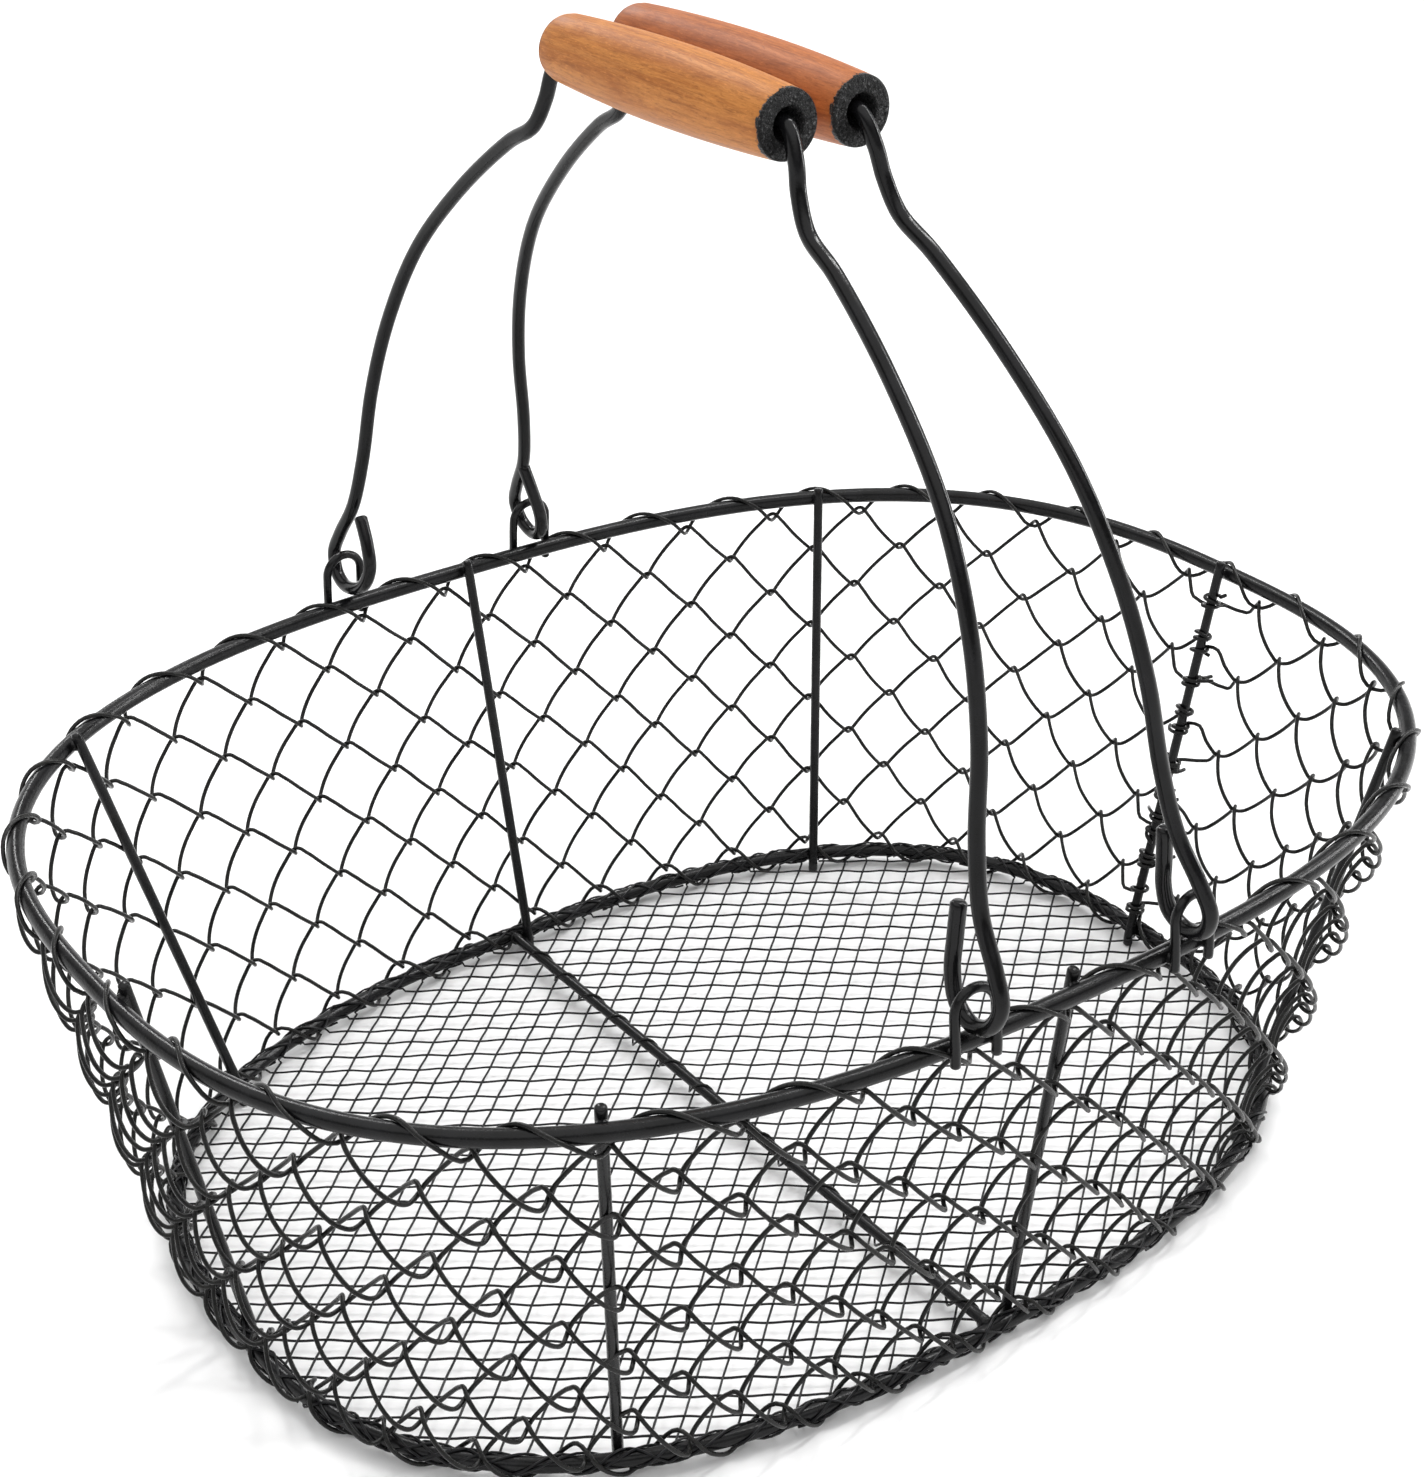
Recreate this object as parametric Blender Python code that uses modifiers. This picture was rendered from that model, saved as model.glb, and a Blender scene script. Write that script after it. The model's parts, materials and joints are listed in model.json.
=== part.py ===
"""Oval wire produce basket with two swinging bail handles and turned wooden grips.

Frame: metres, +Z up, +X along the long axis of the oval. The origin is on the surface the
basket stands on, under the middle of the oval. Every wire is its own piece.
"""
import math

import bmesh
import bpy
import numpy as np
from mathutils import Vector

# ---- driving dimensions (metres) -------------------------------------------------------------
RIM_HALF_LENGTH = 0.170       # ring centre lines
RIM_HALF_WIDTH = 0.129
BASE_HALF_LENGTH = 0.146
BASE_HALF_WIDTH = 0.106
OVAL_POWER = 2.6              # superellipse exponent: 2 is a plain ellipse
FOOT_DROP = 0.0040            # base ring centre line above the standing surface
WALL_HEIGHT = 0.108           # rim centre line above base centre line

RIM_RADIUS = 0.0021           # wire radii
BASE_RADIUS = 0.0019
STRUT_RADIUS = 0.00135
BAR_RADIUS = 0.0015
EYE_RADIUS = 0.0012
BAIL_RADIUS = 0.0018
NET_RADIUS = 0.0006

GAP = 0.0003                  # left between pieces that are welded or rest on each other

STRUTS = 8
COLUMNS = 37                  # mesh columns round the side net
ROWS = 9                      # horizontal net wires, rim to base

HINGE_X = {"left": -0.036, "right": 0.024}
HINGE_RISE = 0.0049           # hook centre line above the rim centre line
# Each upright bail leans in until the two grips meet
LEAN = {"left": math.radians(7.0), "right": math.radians(-7.7)}
GRIP_RISE = 0.1612            # grip axis above the hinge axis, along the bail
GRIP_HALF_LENGTH = 0.0415
GRIP_MIDDLE_RADIUS = 0.0092
GRIP_END_RADIUS = 0.0078
GRIP_BORE_RADIUS = 0.0037

# ---- derived -------------------------------------------------------------------------------
BASE_Z = FOOT_DROP
RIM_Z = BASE_Z + WALL_HEIGHT
HINGE_Z = RIM_Z + HINGE_RISE
PER_BAY = COLUMNS / STRUTS
STRUT_INSET = RIM_RADIUS + STRUT_RADIUS + GAP

# ---- housekeeping ---------------------------------------------------------------------------
for old in list(bpy.data.objects):
    bpy.data.objects.remove(old, do_unlink=True)

parts = bpy.data.collections.new("wire_produce_basket")
bpy.context.scene.collection.children.link(parts)


def material(name, colour, roughness, metallic=0.0):
    """A Principled material with one plain colour."""
    made = bpy.data.materials.new(name)
    made.use_nodes = True
    shader = made.node_tree.nodes["Principled BSDF"]
    shader.inputs["Base Color"].default_value = (*colour, 1.0)
    shader.inputs["Roughness"].default_value = roughness
    shader.inputs["Metallic"].default_value = metallic
    return made


FRAME_BLACK = material("frame_black", (0.018, 0.018, 0.019), 0.42)
NET_BLACK = material("net_black", (0.022, 0.022, 0.023), 0.45)
MESH_BLACK = material("mesh_black", (0.025, 0.025, 0.026), 0.50)
WOOD = material("grip_wood", (0.52, 0.24, 0.10), 0.48)


# ---- the oval and the wall surface between the two rings ------------------------------------
def oval_table(half_length, half_width, samples=2880):
    """Points of the oval with their distance along it, starting at +X, anticlockwise."""
    angle = np.linspace(0.0, 2.0 * math.pi, samples + 1)
    cosine, sine = np.cos(angle), np.sin(angle)
    x = half_length * np.sign(cosine) * np.abs(cosine) ** (2.0 / OVAL_POWER)
    y = half_width * np.sign(sine) * np.abs(sine) ** (2.0 / OVAL_POWER)
    step = np.hypot(np.diff(x), np.diff(y))
    run = np.concatenate([[0.0], np.cumsum(step)])
    return x, y, run / run[-1]


TANGENT_SPAN = 0.2            # columns either side that give the direction along the wall
RIM_OVAL = oval_table(RIM_HALF_LENGTH, RIM_HALF_WIDTH)
BASE_OVAL = oval_table(BASE_HALF_LENGTH, BASE_HALF_WIDTH)


def oval_at(table, column):
    """The oval's point at a column number, where COLUMNS is once round."""
    x, y, run = table
    share = (column / COLUMNS) % 1.0
    return Vector((float(np.interp(share, run, x)), float(np.interp(share, run, y)), 0.0))


def wall_frame(column):
    """Rim point, base point, outward normal and downward direction of the wall at a column."""
    rim = oval_at(RIM_OVAL, column) + Vector((0, 0, RIM_Z))
    base = oval_at(BASE_OVAL, column) + Vector((0, 0, BASE_Z))
    along = oval_at(RIM_OVAL, column + TANGENT_SPAN) - oval_at(RIM_OVAL, column - TANGENT_SPAN)
    down = (base - rim).normalized()
    outward = down.cross(along).normalized()
    return rim, base, outward, down


def wall_point(column, drop, out):
    """A point on the wall: drop metres below the rim centre line, out metres proud of it."""
    rim, _, outward, down = wall_frame(column)
    return rim + down * drop + outward * out


def wall_slant(column):
    """Length of the wall from rim centre line to base centre line at a column."""
    rim, base, _, _ = wall_frame(column)
    return (base - rim).length


# ---- makers ---------------------------------------------------------------------------------
def wire(name, points, radius, finish, closed=False, sides_level=1, parent=None):
    """A round wire along a polyline, as a curve object with filled ends."""
    curve = bpy.data.curves.new(name, "CURVE")
    curve.dimensions = "3D"
    curve.render_resolution_u = 0
    curve.bevel_depth = radius
    curve.bevel_resolution = sides_level
    curve.use_fill_caps = not closed
    spline = curve.splines.new("POLY")
    spline.points.add(len(points) - 1)
    for slot, point in zip(spline.points, points):
        slot.co = (*point, 1.0)
    spline.use_cyclic_u = closed
    spline.use_smooth = True
    curve.materials.append(finish)
    made = bpy.data.objects.new(name, curve)
    parts.objects.link(made)
    made.parent = parent
    return made


def smooth_path(points, steps):
    """A centripetal Catmull-Rom curve through the points, steps pieces to each span."""
    ends = [points[0] * 2 - points[1], *points, points[-1] * 2 - points[-2]]
    path = []
    for before, start, end, after in zip(ends, ends[1:], ends[2:], ends[3:]):
        t0 = 0.0
        t1 = t0 + (start - before).length ** 0.5
        t2 = t1 + (end - start).length ** 0.5
        t3 = t2 + (after - end).length ** 0.5
        for index in range(steps):
            t = t1 + (t2 - t1) * index / steps
            a1 = before.lerp(start, (t - t0) / (t1 - t0))
            a2 = start.lerp(end, (t - t1) / (t2 - t1))
            a3 = end.lerp(after, (t - t2) / (t3 - t2))
            b1 = a1.lerp(a2, (t - t0) / (t2 - t0))
            b2 = a2.lerp(a3, (t - t1) / (t3 - t1))
            path.append(b1.lerp(b2, (t - t1) / (t2 - t1)))
    path.append(points[-1].copy())
    return path


# ---- rings, struts and floor ----------------------------------------------------------------
RING_POINTS = 56


def ring(name, table, height, radius):
    """A closed oval wire lying level."""
    level = Vector((0, 0, height))
    route = [oval_at(table, COLUMNS * i / RING_POINTS) + level for i in range(RING_POINTS)]
    return wire(name, route, radius, FRAME_BLACK, closed=True)


ring("rim_ring", RIM_OVAL, RIM_Z, RIM_RADIUS)
ring("base_ring", BASE_OVAL, BASE_Z, BASE_RADIUS)

STRUT_TOP = 0.0030            # rod end above the rim centre line
FOOT_LENGTH = 0.0030          # level-cut foot below the last bend


# The rods aren't quite evenly spaced: shifts in columns (at the rim, at the base), anticlockwise
STRUT_SHIFT = {2: (0.38, 0.31), 4: (0.53, 0.14), 5: (0.5, 0.0), 6: (0.34, 0.19), 7: (-0.18, 0.18),
               8: (0.56, 0.0)}


def strut(number):
    """An upright on the inner side of both rings, standing on its cut lower end."""
    column = (number - 1) * PER_BAY
    rim_shift, base_shift = STRUT_SHIFT.get(number, (0.0, 0.0))
    rim, _, rim_outward, down = wall_frame(column + rim_shift)
    _, base, base_outward, _ = wall_frame(column + base_shift)
    top = rim - rim_outward * STRUT_INSET - down * STRUT_TOP
    ankle = base - base_outward * STRUT_INSET
    ankle.z = FOOT_LENGTH
    foot = Vector((ankle.x, ankle.y, 0.0))
    return wire(f"strut_{number}", [top, ankle, foot], STRUT_RADIUS, FRAME_BLACK)


for number in range(1, STRUTS + 1):
    strut(number)

BAR_X = -0.0036               # the bar is welded beside the feet of the two middle struts
BAR_RISE = 0.0008             # bar centre line above the base ring centre line
bar_reach = BASE_HALF_WIDTH - BASE_RADIUS - GAP
wire("base_cross_bar",
     [Vector((BAR_X, side * bar_reach, BASE_Z + BAR_RISE)) for side in (-1, 1)],
     BAR_RADIUS, FRAME_BLACK, sides_level=2)

FLOOR_THICKNESS = 0.0012      # two crossing wires of the woven floor
FLOOR_INSET = 0.0058          # floor edge inside the base ring centre line, clear of the feet
FLOOR_EDGE_POINTS = 48


def floor():
    """The woven floor as a thin plate under the cross bar."""
    outline = bpy.data.curves.new("floor_mesh", "CURVE")
    outline.dimensions = "2D"
    outline.fill_mode = "BOTH"
    outline.extrude = FLOOR_THICKNESS / 2
    outline.render_resolution_u = 0
    spline = outline.splines.new("POLY")
    spline.points.add(FLOOR_EDGE_POINTS - 1)
    for i, slot in enumerate(spline.points):
        edge = oval_at(BASE_OVAL, COLUMNS * i / FLOOR_EDGE_POINTS)
        along = oval_at(BASE_OVAL, COLUMNS * i / FLOOR_EDGE_POINTS + TANGENT_SPAN) - edge
        inward = Vector((-along.y, along.x, 0)).normalized()
        slot.co = (*(edge + inward * FLOOR_INSET), 1.0)
    spline.use_cyclic_u = True
    outline.materials.append(MESH_BLACK)
    made = bpy.data.objects.new("floor_mesh", outline)
    bar_bottom = BASE_Z + BAR_RISE - BAR_RADIUS
    made.location = (0, 0, bar_bottom - GAP - FLOOR_THICKNESS / 2)
    parts.objects.link(made)


floor()

# ---- side net: zigzag wires, each clasped through the bends of the next ----------------------
NET_TOP = 0.0045              # first row of bends below the rim centre line
NET_BOTTOM = 0.0045           # last row of bends above the base centre line
CLASP = 0.0016                # how far a bend reaches past its row line
NET_INNER = -0.0006           # straight legs, against the struts
NET_BOW = 0.0056              # outer legs, bowed out in the middle
SEAM_SHARE = 0.06             # cut ends this share of a column either side of the seam
# One zigzag of a net wire: (share of a column, share of the fall to the next row, proud of wall)
NET_STOPS = [(0.0, 0.0, NET_INNER), (0.25, 0.5, NET_BOW), (0.5, 1.0, NET_INNER), (1.0, 0.0, NET_INNER)]


def row_drop(column, row):
    """Distance of a row of bends below the rim centre line."""
    return NET_TOP + (wall_slant(column) - NET_TOP - NET_BOTTOM) * row / ROWS


def net_point(row, position):
    """A point of the net wire hung from a row, at a column position round the basket."""
    offset = 0.5 if row % 2 == 0 else 0.0
    phase = (position - offset) % 1.0
    upper = -CLASP if row > 0 else 0.0
    lower = CLASP if row < ROWS - 1 else 0.0
    for (p0, f0, w0), (p1, f1, w1) in zip(NET_STOPS, NET_STOPS[1:]):
        if phase <= p1:
            share = (phase - p0) / (p1 - p0)
            fall, out = f0 + (f1 - f0) * share, w0 + (w1 - w0) * share
            break
    high = row_drop(position, row) + upper
    low = row_drop(position, row + 1) + lower
    return wall_point(position, high + (low - high) * fall, out)


def net_wire(row):
    """One horizontal net wire, cut at the seam behind the first strut."""
    offset = 0.5 if row % 2 == 0 else 0.0
    bends = [share for share, _, _ in NET_STOPS[:-1]]
    corners = [k + offset + bend for k in range(-1, COLUMNS + 1) for bend in bends]
    inside = [c for c in corners if SEAM_SHARE < c < COLUMNS - SEAM_SHARE]
    stations = [SEAM_SHARE, *inside, COLUMNS - SEAM_SHARE]
    route = [net_point(row, station) for station in stations]
    return wire(f"net_wire_{row + 1}", route, NET_RADIUS, NET_BLACK, sides_level=0)


for row in range(ROWS):
    net_wire(row)


# ---- lacing wires: one turn to each column, through the end bends of the net -----------------
LACE_GAP = 0.0004
LACE_REACH = 0.0022           # how far the lacing passes beyond the bends it threads
LACE_HALF_SPREAD = 0.04       # half the width of the threading bend, in columns
LACE_SIDE_STEP = 0.0011       # sideways offset of the two ends of that bend
LACE_SWING = 60.0             # degrees between the helix points
LACE_HELIX = [0.26, 0.42, 0.58, 0.74]   # columns after the bend of the four helix points


def lacing(name, ring_drop, radius, threads_down):
    """A loose helix round a ring; ring_drop gives the ring's drop at a column."""
    reach = (radius + NET_RADIUS + LACE_GAP) / math.cos(math.radians(LACE_SWING / 2))
    hook = (NET_TOP if threads_down else NET_BOTTOM) + LACE_REACH
    down = 1 if threads_down else -1
    first = 0.5 if threads_down else 0.0
    turn = [(-LACE_HALF_SPREAD, down * hook, down * LACE_SIDE_STEP),
            (LACE_HALF_SPREAD, down * hook, down * -LACE_SIDE_STEP)]
    for count, share in enumerate(LACE_HELIX):
        swing = math.radians(LACE_SWING * count)
        turn.append((share, down * -reach * math.sin(swing), down * -reach * math.cos(swing)))
    route = []
    for k in range(COLUMNS):
        for share, drop, out in turn:
            column = k + first + share
            route.append(wall_point(column, ring_drop(column) + drop, out))
    if not threads_down:
        del route[0]          # the wire starts just past the seam
    return wire(name, route, NET_RADIUS, NET_BLACK, sides_level=0)


lacing("rim_lacing", lambda column: 0.0, RIM_RADIUS, True)
lacing("base_lacing", wall_slant, BASE_RADIUS, False)

# ---- eyes: staples on the rim that carry the bail hooks --------------------------------------
EYE_HALF_WIDTH = 0.0053
EYE_TOP = 0.0140              # crown centre line above the rim centre line
EYE_STUB = 0.0036             # leg ends below the rim centre line
EYE_SHOULDER = 0.0035         # above this the staple leans in over the rim
EYE_OUT = 0.0052              # leg centre lines outside the rim centre line, over the lacing
EYE_ARC_STEPS = 6


def rim_y(x):
    """Half width of the rim centre line at x."""
    return RIM_HALF_WIDTH * (1.0 - abs(x / RIM_HALF_LENGTH) ** OVAL_POWER) ** (1.0 / OVAL_POWER)


def eye(name, x, side):
    """A staple standing on the rim, both legs on its outer side, leaning in to its crown."""
    crown = EYE_TOP - EYE_HALF_WIDTH
    centre_y = rim_y(x)

    def place(offset, rise):
        share = min(1.0, (EYE_TOP - rise) / (EYE_TOP - EYE_SHOULDER))
        return Vector((x + offset, side * (centre_y + EYE_OUT * share), RIM_Z + rise))

    half = EYE_HALF_WIDTH
    route = [place(-half, -EYE_STUB), place(-half, EYE_SHOULDER)]
    for i in range(EYE_ARC_STEPS + 1):
        angle = math.pi * (1 - i / EYE_ARC_STEPS)
        route.append(place(half * math.cos(angle), crown + half * math.sin(angle)))
    route += [place(half, EYE_SHOULDER), place(half, -EYE_STUB)]
    return wire(name, route, EYE_RADIUS, FRAME_BLACK)


for hand, hinge_x in HINGE_X.items():
    for place_name, side in (("back", 1), ("front", -1)):
        eye(f"eye_{hand}_{place_name}", hinge_x, side)

# ---- bails and grips --------------------------------------------------------------------------
HOOK_Y = 0.1298               # hook bottom, inside the eye
# Half of the bail from the tail of the hook to the middle of the grip: (across, up the bail)
BAIL_HALF = [(0.1224, 0.0225), (0.1222, 0.0085), (0.1246, 0.0022), (HOOK_Y, 0.0), (0.1350, 0.0022),
             (0.1374, 0.0075), (0.1342, 0.0140), (0.1276, 0.0240), (0.1234, 0.0385), (0.1202, 0.0580),
             (0.1135, 0.0782), (0.1008, 0.1003), (0.0816, 0.1200), (0.0612, 0.1357), (0.0512, 0.1415),
             (0.0470, 0.1485), (0.0450, 0.1548), (0.0408, GRIP_RISE), (0.0350, GRIP_RISE)]


GRIP_EDGE_LENGTH = 0.0014     # rounded edge of the grip's end: along it and across it
GRIP_EDGE_STEP = 0.0008
GRIP_BARREL_STEPS = 6
GRIP_SIDES = 20
BAIL_STEPS = 3                # straight pieces between two listed points


def bail_route(steps):
    """The bail's centre line in its own YZ plane, hinge axis through the origin."""
    half = [Vector((0, across, up)) for across, up in BAIL_HALF]
    path = smooth_path(half, steps)
    other = [Vector((0, -point.y, point.z)) for point in reversed(path)]
    return path + other


def grip(name, parent):
    """A turned barrel grip, bored through, that spins on the straight top of the bail."""
    half = GRIP_HALF_LENGTH
    face_radius = GRIP_END_RADIUS - GRIP_EDGE_STEP
    outer = []
    for i in range(GRIP_BARREL_STEPS + 1):
        share = 1.0 - 2.0 * i / GRIP_BARREL_STEPS
        swell = (GRIP_MIDDLE_RADIUS - GRIP_END_RADIUS) * (1.0 - share * share)
        outer.append((GRIP_END_RADIUS + swell, share * (half - GRIP_EDGE_LENGTH)))
    profile = [(face_radius, half), *outer, (face_radius, -half),
               (GRIP_BORE_RADIUS, -half), (GRIP_BORE_RADIUS, half)]
    mesh = bpy.data.meshes.new(name)
    built = bmesh.new()
    corners = [built.verts.new((radius, 0.0, height)) for radius, height in profile]
    for start, end in zip(corners, corners[1:] + corners[:1]):
        built.edges.new((start, end))
    built.to_mesh(mesh)
    built.free()
    mesh.materials.append(WOOD)
    made = bpy.data.objects.new(name, mesh)
    parts.objects.link(made)
    turn = made.modifiers.new("turn", "SCREW")
    turn.steps = turn.render_steps = GRIP_SIDES
    turn.screw_offset = 0.0
    turn.use_merge_vertices = True
    turn.merge_threshold = 0.00001
    turn.use_smooth_shade = True
    made.parent = parent
    made.location = (0, 0, GRIP_RISE)
    made.rotation_euler = (math.pi / 2, 0, 0)
    return made


for hand, hinge_x in HINGE_X.items():
    pivot = bpy.data.objects.new(f"pivot_{hand}", None)
    pivot.location = (hinge_x, 0, HINGE_Z)
    pivot.rotation_euler = (0, LEAN[hand], 0)
    parts.objects.link(pivot)
    wire(f"bail_{hand}", bail_route(BAIL_STEPS), BAIL_RADIUS, FRAME_BLACK, parent=pivot)
    grip(f"grip_{hand}", pivot)
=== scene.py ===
"""Looks of the oval wire produce basket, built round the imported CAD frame.

Metres, +Z up, +X along the long axis, the standing surface at z = 0. Each CAD wire is replaced by
a finer one on the same route: smooth clasped net wires, lacing, woven floor, welded rods, swinging
bails with hooks, and turned wooden grips. A column is one of the 37 mesh columns round the basket,
counted anticlockwise from +X, where the seam of the net is.
"""
import json
import math
import random

import bpy
import numpy as np
from mathutils import Matrix, Vector


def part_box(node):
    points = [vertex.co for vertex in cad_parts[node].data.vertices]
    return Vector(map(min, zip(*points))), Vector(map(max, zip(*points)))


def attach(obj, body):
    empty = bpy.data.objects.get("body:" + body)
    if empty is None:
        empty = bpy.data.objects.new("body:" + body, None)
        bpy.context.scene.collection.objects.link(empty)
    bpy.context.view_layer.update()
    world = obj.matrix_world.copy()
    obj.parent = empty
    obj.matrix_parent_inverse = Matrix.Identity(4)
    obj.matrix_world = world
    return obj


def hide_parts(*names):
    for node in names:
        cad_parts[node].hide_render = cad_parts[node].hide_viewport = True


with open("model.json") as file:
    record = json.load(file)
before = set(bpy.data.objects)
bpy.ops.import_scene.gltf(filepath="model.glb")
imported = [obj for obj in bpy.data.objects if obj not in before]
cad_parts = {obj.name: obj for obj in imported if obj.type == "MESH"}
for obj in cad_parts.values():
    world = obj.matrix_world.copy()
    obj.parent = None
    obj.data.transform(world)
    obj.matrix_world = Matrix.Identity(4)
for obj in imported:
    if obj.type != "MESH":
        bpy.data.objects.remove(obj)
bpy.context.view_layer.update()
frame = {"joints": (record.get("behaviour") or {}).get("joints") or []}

MM = 0.001

# ---- sizes: wire radii, and places from the frame ----------------------------------------------
RIM_RADIUS = 2.1 * MM
BASE_RADIUS = 1.9 * MM
STRUT_RADIUS = 1.35 * MM
BAR_RADIUS = 1.5 * MM
EYE_RADIUS = 1.15 * MM
BAIL_RADIUS = 1.8 * MM
NET_RADIUS = 0.54 * MM
FLOOR_RADIUS = 0.31 * MM
TIE_RADIUS = 0.32 * MM
GAP = 0.3 * MM                # what the CAD leaves between welded wires; welds fill it here

OVAL_POWER = 2.6
STRUTS = 8
COLUMNS = 37
ROWS = 9
PER_BAY = COLUMNS / STRUTS


def node_middle(node):
    """Centre of a CAD node's box."""
    low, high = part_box(node)
    return (low + high) / 2


RIM_Z = node_middle("rim_ring").z
BASE_Z = node_middle("base_ring").z
RIM_HALF = [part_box("rim_ring")[1][axis] - RIM_RADIUS for axis in (0, 1)]
BASE_HALF = [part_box("base_ring")[1][axis] - BASE_RADIUS for axis in (0, 1)]
BAR = node_middle("base_cross_bar")
BAR_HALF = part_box("base_cross_bar")[1].y
FLOOR_Z = node_middle("floor_mesh").z
JOINTS = {joint["name"]: joint for joint in frame["joints"]}
HANDS = ("left", "right")
HINGE = {hand: Vector(JOINTS[f"{hand}_bail_swing"]["pos_m"]) for hand in HANDS}
GRIP_AXIS = {hand: Vector(JOINTS[f"{hand}_grip_spin"]["pos_m"]) for hand in HANDS}
GRIP_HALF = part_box("grip_left")[1].y

chance = random.Random(11)


# ---- the wall surface between the two rings ----------------------------------------------------
def oval_table(half, samples=2880):
    """Points of the oval with their share of the way round, from +X, anticlockwise."""
    angle = np.linspace(0.0, 2.0 * math.pi, samples + 1)
    cosine, sine = np.cos(angle), np.sin(angle)
    x = half[0] * np.sign(cosine) * np.abs(cosine) ** (2.0 / OVAL_POWER)
    y = half[1] * np.sign(sine) * np.abs(sine) ** (2.0 / OVAL_POWER)
    run = np.concatenate([[0.0], np.cumsum(np.hypot(np.diff(x), np.diff(y)))])
    return x, y, run / run[-1]


RIM_OVAL = oval_table(RIM_HALF)
BASE_OVAL = oval_table(BASE_HALF)
TANGENT_SPAN = 0.2            # columns either side that give the direction along the wall


def oval_points(table, columns, height):
    """Points of an oval at the given columns, at one height."""
    x, y, run = table
    share = (np.asarray(columns, float) / COLUMNS) % 1.0
    return np.stack([np.interp(share, run, x), np.interp(share, run, y), np.full(share.shape, height)], -1)


def unit(vectors):
    """The vectors at length one."""
    return vectors / np.linalg.norm(vectors, axis=-1, keepdims=True)


def wall_frame(columns):
    """Rim points, base points, outward normals and downward directions of the wall."""
    columns = np.asarray(columns, float)
    rim = oval_points(RIM_OVAL, columns, RIM_Z)
    base = oval_points(BASE_OVAL, columns, BASE_Z)
    ahead = oval_points(RIM_OVAL, columns + TANGENT_SPAN, RIM_Z)
    behind = oval_points(RIM_OVAL, columns - TANGENT_SPAN, RIM_Z)
    down = unit(base - rim)
    outward = unit(np.cross(down, ahead - behind))
    return rim, base, outward, down


def wall_points(columns, drops, outs):
    """Points on the wall: drops below the rim centre line, outs proud of the wall."""
    rim, _, outward, down = wall_frame(columns)
    return rim + down * np.asarray(drops)[..., None] + outward * np.asarray(outs)[..., None]


def wall_slant(columns):
    """Length of the wall from rim to base centre line."""
    rim, base, _, _ = wall_frame(columns)
    return np.linalg.norm(base - rim, axis=-1)


# ---- smooth routes and round wires -------------------------------------------------------------
def smooth_route(points, steps):
    """A centripetal Catmull-Rom curve through the points, steps pieces to each span."""
    points = np.asarray(points, float)
    padded = np.vstack([2 * points[0] - points[1], points, 2 * points[-1] - points[-2]])
    knot = np.sqrt(np.linalg.norm(np.diff(padded, axis=0), axis=1))
    before, start, end, after = padded[:-3], padded[1:-2], padded[2:-1], padded[3:]
    k0, k1, k2 = knot[:-2, None], knot[1:-1, None], knot[2:, None]
    spans = []
    for share in np.arange(steps) / steps:
        t = k1 * share
        a1 = before + (start - before) * (t + k0) / k0
        a2 = start + (end - start) * t / k1
        a3 = end + (after - end) * (t - k1) / k2
        b1 = a1 + (a2 - a1) * (t + k0) / (k0 + k1)
        b2 = a2 + (a3 - a2) * t / (k1 + k2)
        spans.append(b1 + (b2 - b1) * t / k1)
    return np.vstack([np.stack(spans, 1).reshape(-1, 3), points[-1]])


CUT_ROUNDING = 0.3            # a cut end's edge is rounded by this share of the wire's radius


def route_normals(tangent, closed):
    """Normals carried along a route without twisting, closed up where the route is a loop."""
    first = np.cross(tangent[0], (0.0, 0.0, 1.0))
    if np.linalg.norm(first) < 0.1:
        first = np.cross(tangent[0], (1.0, 0.0, 0.0))
    normals = np.empty_like(tangent)
    normal = first / np.linalg.norm(first)
    for i, direction in enumerate(tangent):
        normal = normal - direction * normal.dot(direction)
        normal = normal / math.sqrt(normal.dot(normal))
        normals[i] = normal
    if closed:
        last = normals[-1] - tangent[0] * normals[-1].dot(tangent[0])
        side = np.cross(tangent[0], normals[0])
        twist = math.atan2(last.dot(side), last.dot(normals[0]))
        angle = -twist * np.arange(len(tangent)) / len(tangent)
        sides = np.cross(tangent, normals)
        normals = normals * np.cos(angle)[:, None] + sides * np.sin(angle)[:, None]
    return normals


def tube(route, radius, sides=8, closed=False):
    """A round wire as (vertices, quads, caps); its radius may change along the route."""
    route = np.asarray(route, float)
    radius = np.broadcast_to(np.asarray(radius, float), (len(route),)).copy()
    if closed:
        tangent = unit(np.roll(route, -1, 0) - np.roll(route, 1, 0))
    else:
        tangent = unit(np.gradient(route, axis=0))
        nib = CUT_ROUNDING * radius[[0, -1]]
        route = np.vstack([route[0] - tangent[0] * nib[0], route, route[-1] + tangent[-1] * nib[1]])
        radius = np.concatenate([[radius[0] - nib[0]], radius, [radius[-1] - nib[1]]])
        tangent = np.vstack([tangent[0], tangent, tangent[-1]])
    normal = route_normals(tangent, closed)
    side = np.cross(tangent, normal)
    angle = 2.0 * math.pi * np.arange(sides) / sides
    ring = normal[:, None] * np.cos(angle)[None, :, None] + side[:, None] * np.sin(angle)[None, :, None]
    points = (route[:, None] + ring * radius[:, None, None]).reshape(-1, 3)
    count = len(route)
    i = np.arange(count if closed else count - 1)[:, None]
    j = np.arange(sides)[None, :]
    i_next, j_next = (i + 1) % count, (j + 1) % sides
    quads = np.stack([i * sides + j, i * sides + j_next, i_next * sides + j_next, i_next * sides + j], -1)
    caps = []
    if not closed:
        caps = [list(range(sides - 1, -1, -1)), list(range((count - 1) * sides, count * sides))]
    return points, quads.reshape(-1, 4), caps


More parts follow.
